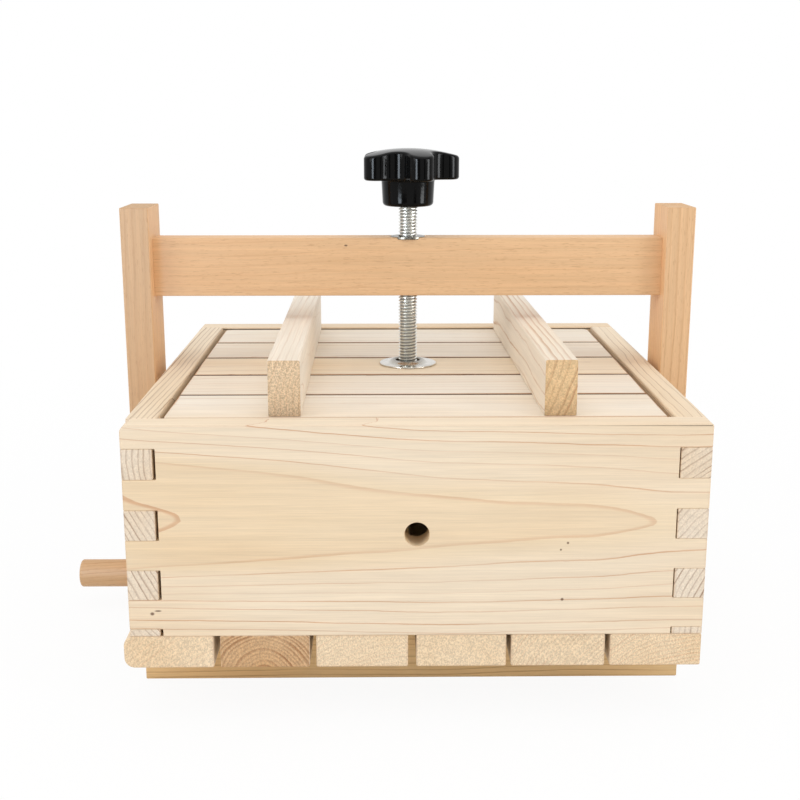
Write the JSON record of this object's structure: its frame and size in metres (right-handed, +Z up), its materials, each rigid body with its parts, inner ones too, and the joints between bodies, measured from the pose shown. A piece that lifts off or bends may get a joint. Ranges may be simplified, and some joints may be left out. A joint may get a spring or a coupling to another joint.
{
  "type": "tofu press",
  "caption": "Wooden tofu press: finger-jointed mould box on a slatted base, battened slat lid, and a frame whose hand screw with a black star knob presses the lid; a rod locks the frame.",
  "frame": {"origin": "on the surface the press stands on, under the middle of its whole length and depth, the locking rod included", "axes": "+X to the right seen from the front, along the locking rod and the crossbar; +Y to the back; +Z up, along the screw"},
  "size_m": [0.329, 0.245, 0.2401],
  "materials": {
    "fir": "planed and sanded softwood, bare",
    "fir_dark": "planed softwood from a darker board",
    "beech": "planed hardwood, bare",
    "zinc": "zinc-plated steel",
    "bright_steel": "polished pressed steel",
    "black_plastic": "moulded phenolic, glossy"
  },
  "bodies": {
    "stand": {"base_slat_1": "fir", "base_slat_2": "fir_dark", "base_slat_3": "fir", "base_slat_4": "fir", "base_slat_5": "fir", "base_slat_6": "fir", "base_batten_front": "fir", "base_batten_back": "fir", "base_nails": "zinc", "left_upright": "beech", "right_upright": "beech", "crossbar": "beech", "threaded_insert": "zinc"},
    "box": {"front_board": "fir", "back_board": "fir", "left_board": "fir", "right_board": "fir"},
    "lid": {"lid_slat_1": "fir", "lid_slat_2": "fir", "lid_slat_3": "fir_dark", "lid_slat_4": "fir", "lid_slat_5": "fir", "lid_batten_left": "fir", "lid_batten_right": "fir", "lid_nails": "zinc", "screw_cup": "bright_steel"},
    "screw": {"screw_stud": "zinc", "star_knob": "black_plastic"},
    "rod": {"locking_rod": "beech"}
  },
  "joints": [
    {"name": "box_lift", "type": "slide", "parent": "stand", "child": "box", "axis": [0, 0, 1], "range_m": [0, 0.034]},
    {"name": "lid_slide", "type": "slide", "parent": "stand", "child": "lid", "axis": [0, 0, 1], "range_m": [-0.0134, 0.0104]},
    {"name": "screw_turn", "type": "hinge", "parent": "lid", "child": "screw", "pos_m": [0.0095, 0.008, 0.2], "axis": [0, 0, 1], "range_deg": [-3040, 2360]},
    {"name": "rod_slide", "type": "slide", "parent": "stand", "child": "rod", "axis": [-1, 0, 0], "range_m": [-0.03, 0.3]}
  ],
  "couplings": [
    {"joint": "screw_turn", "follows": "lid_slide", "rad_per_m": 3957.9}
  ]
}
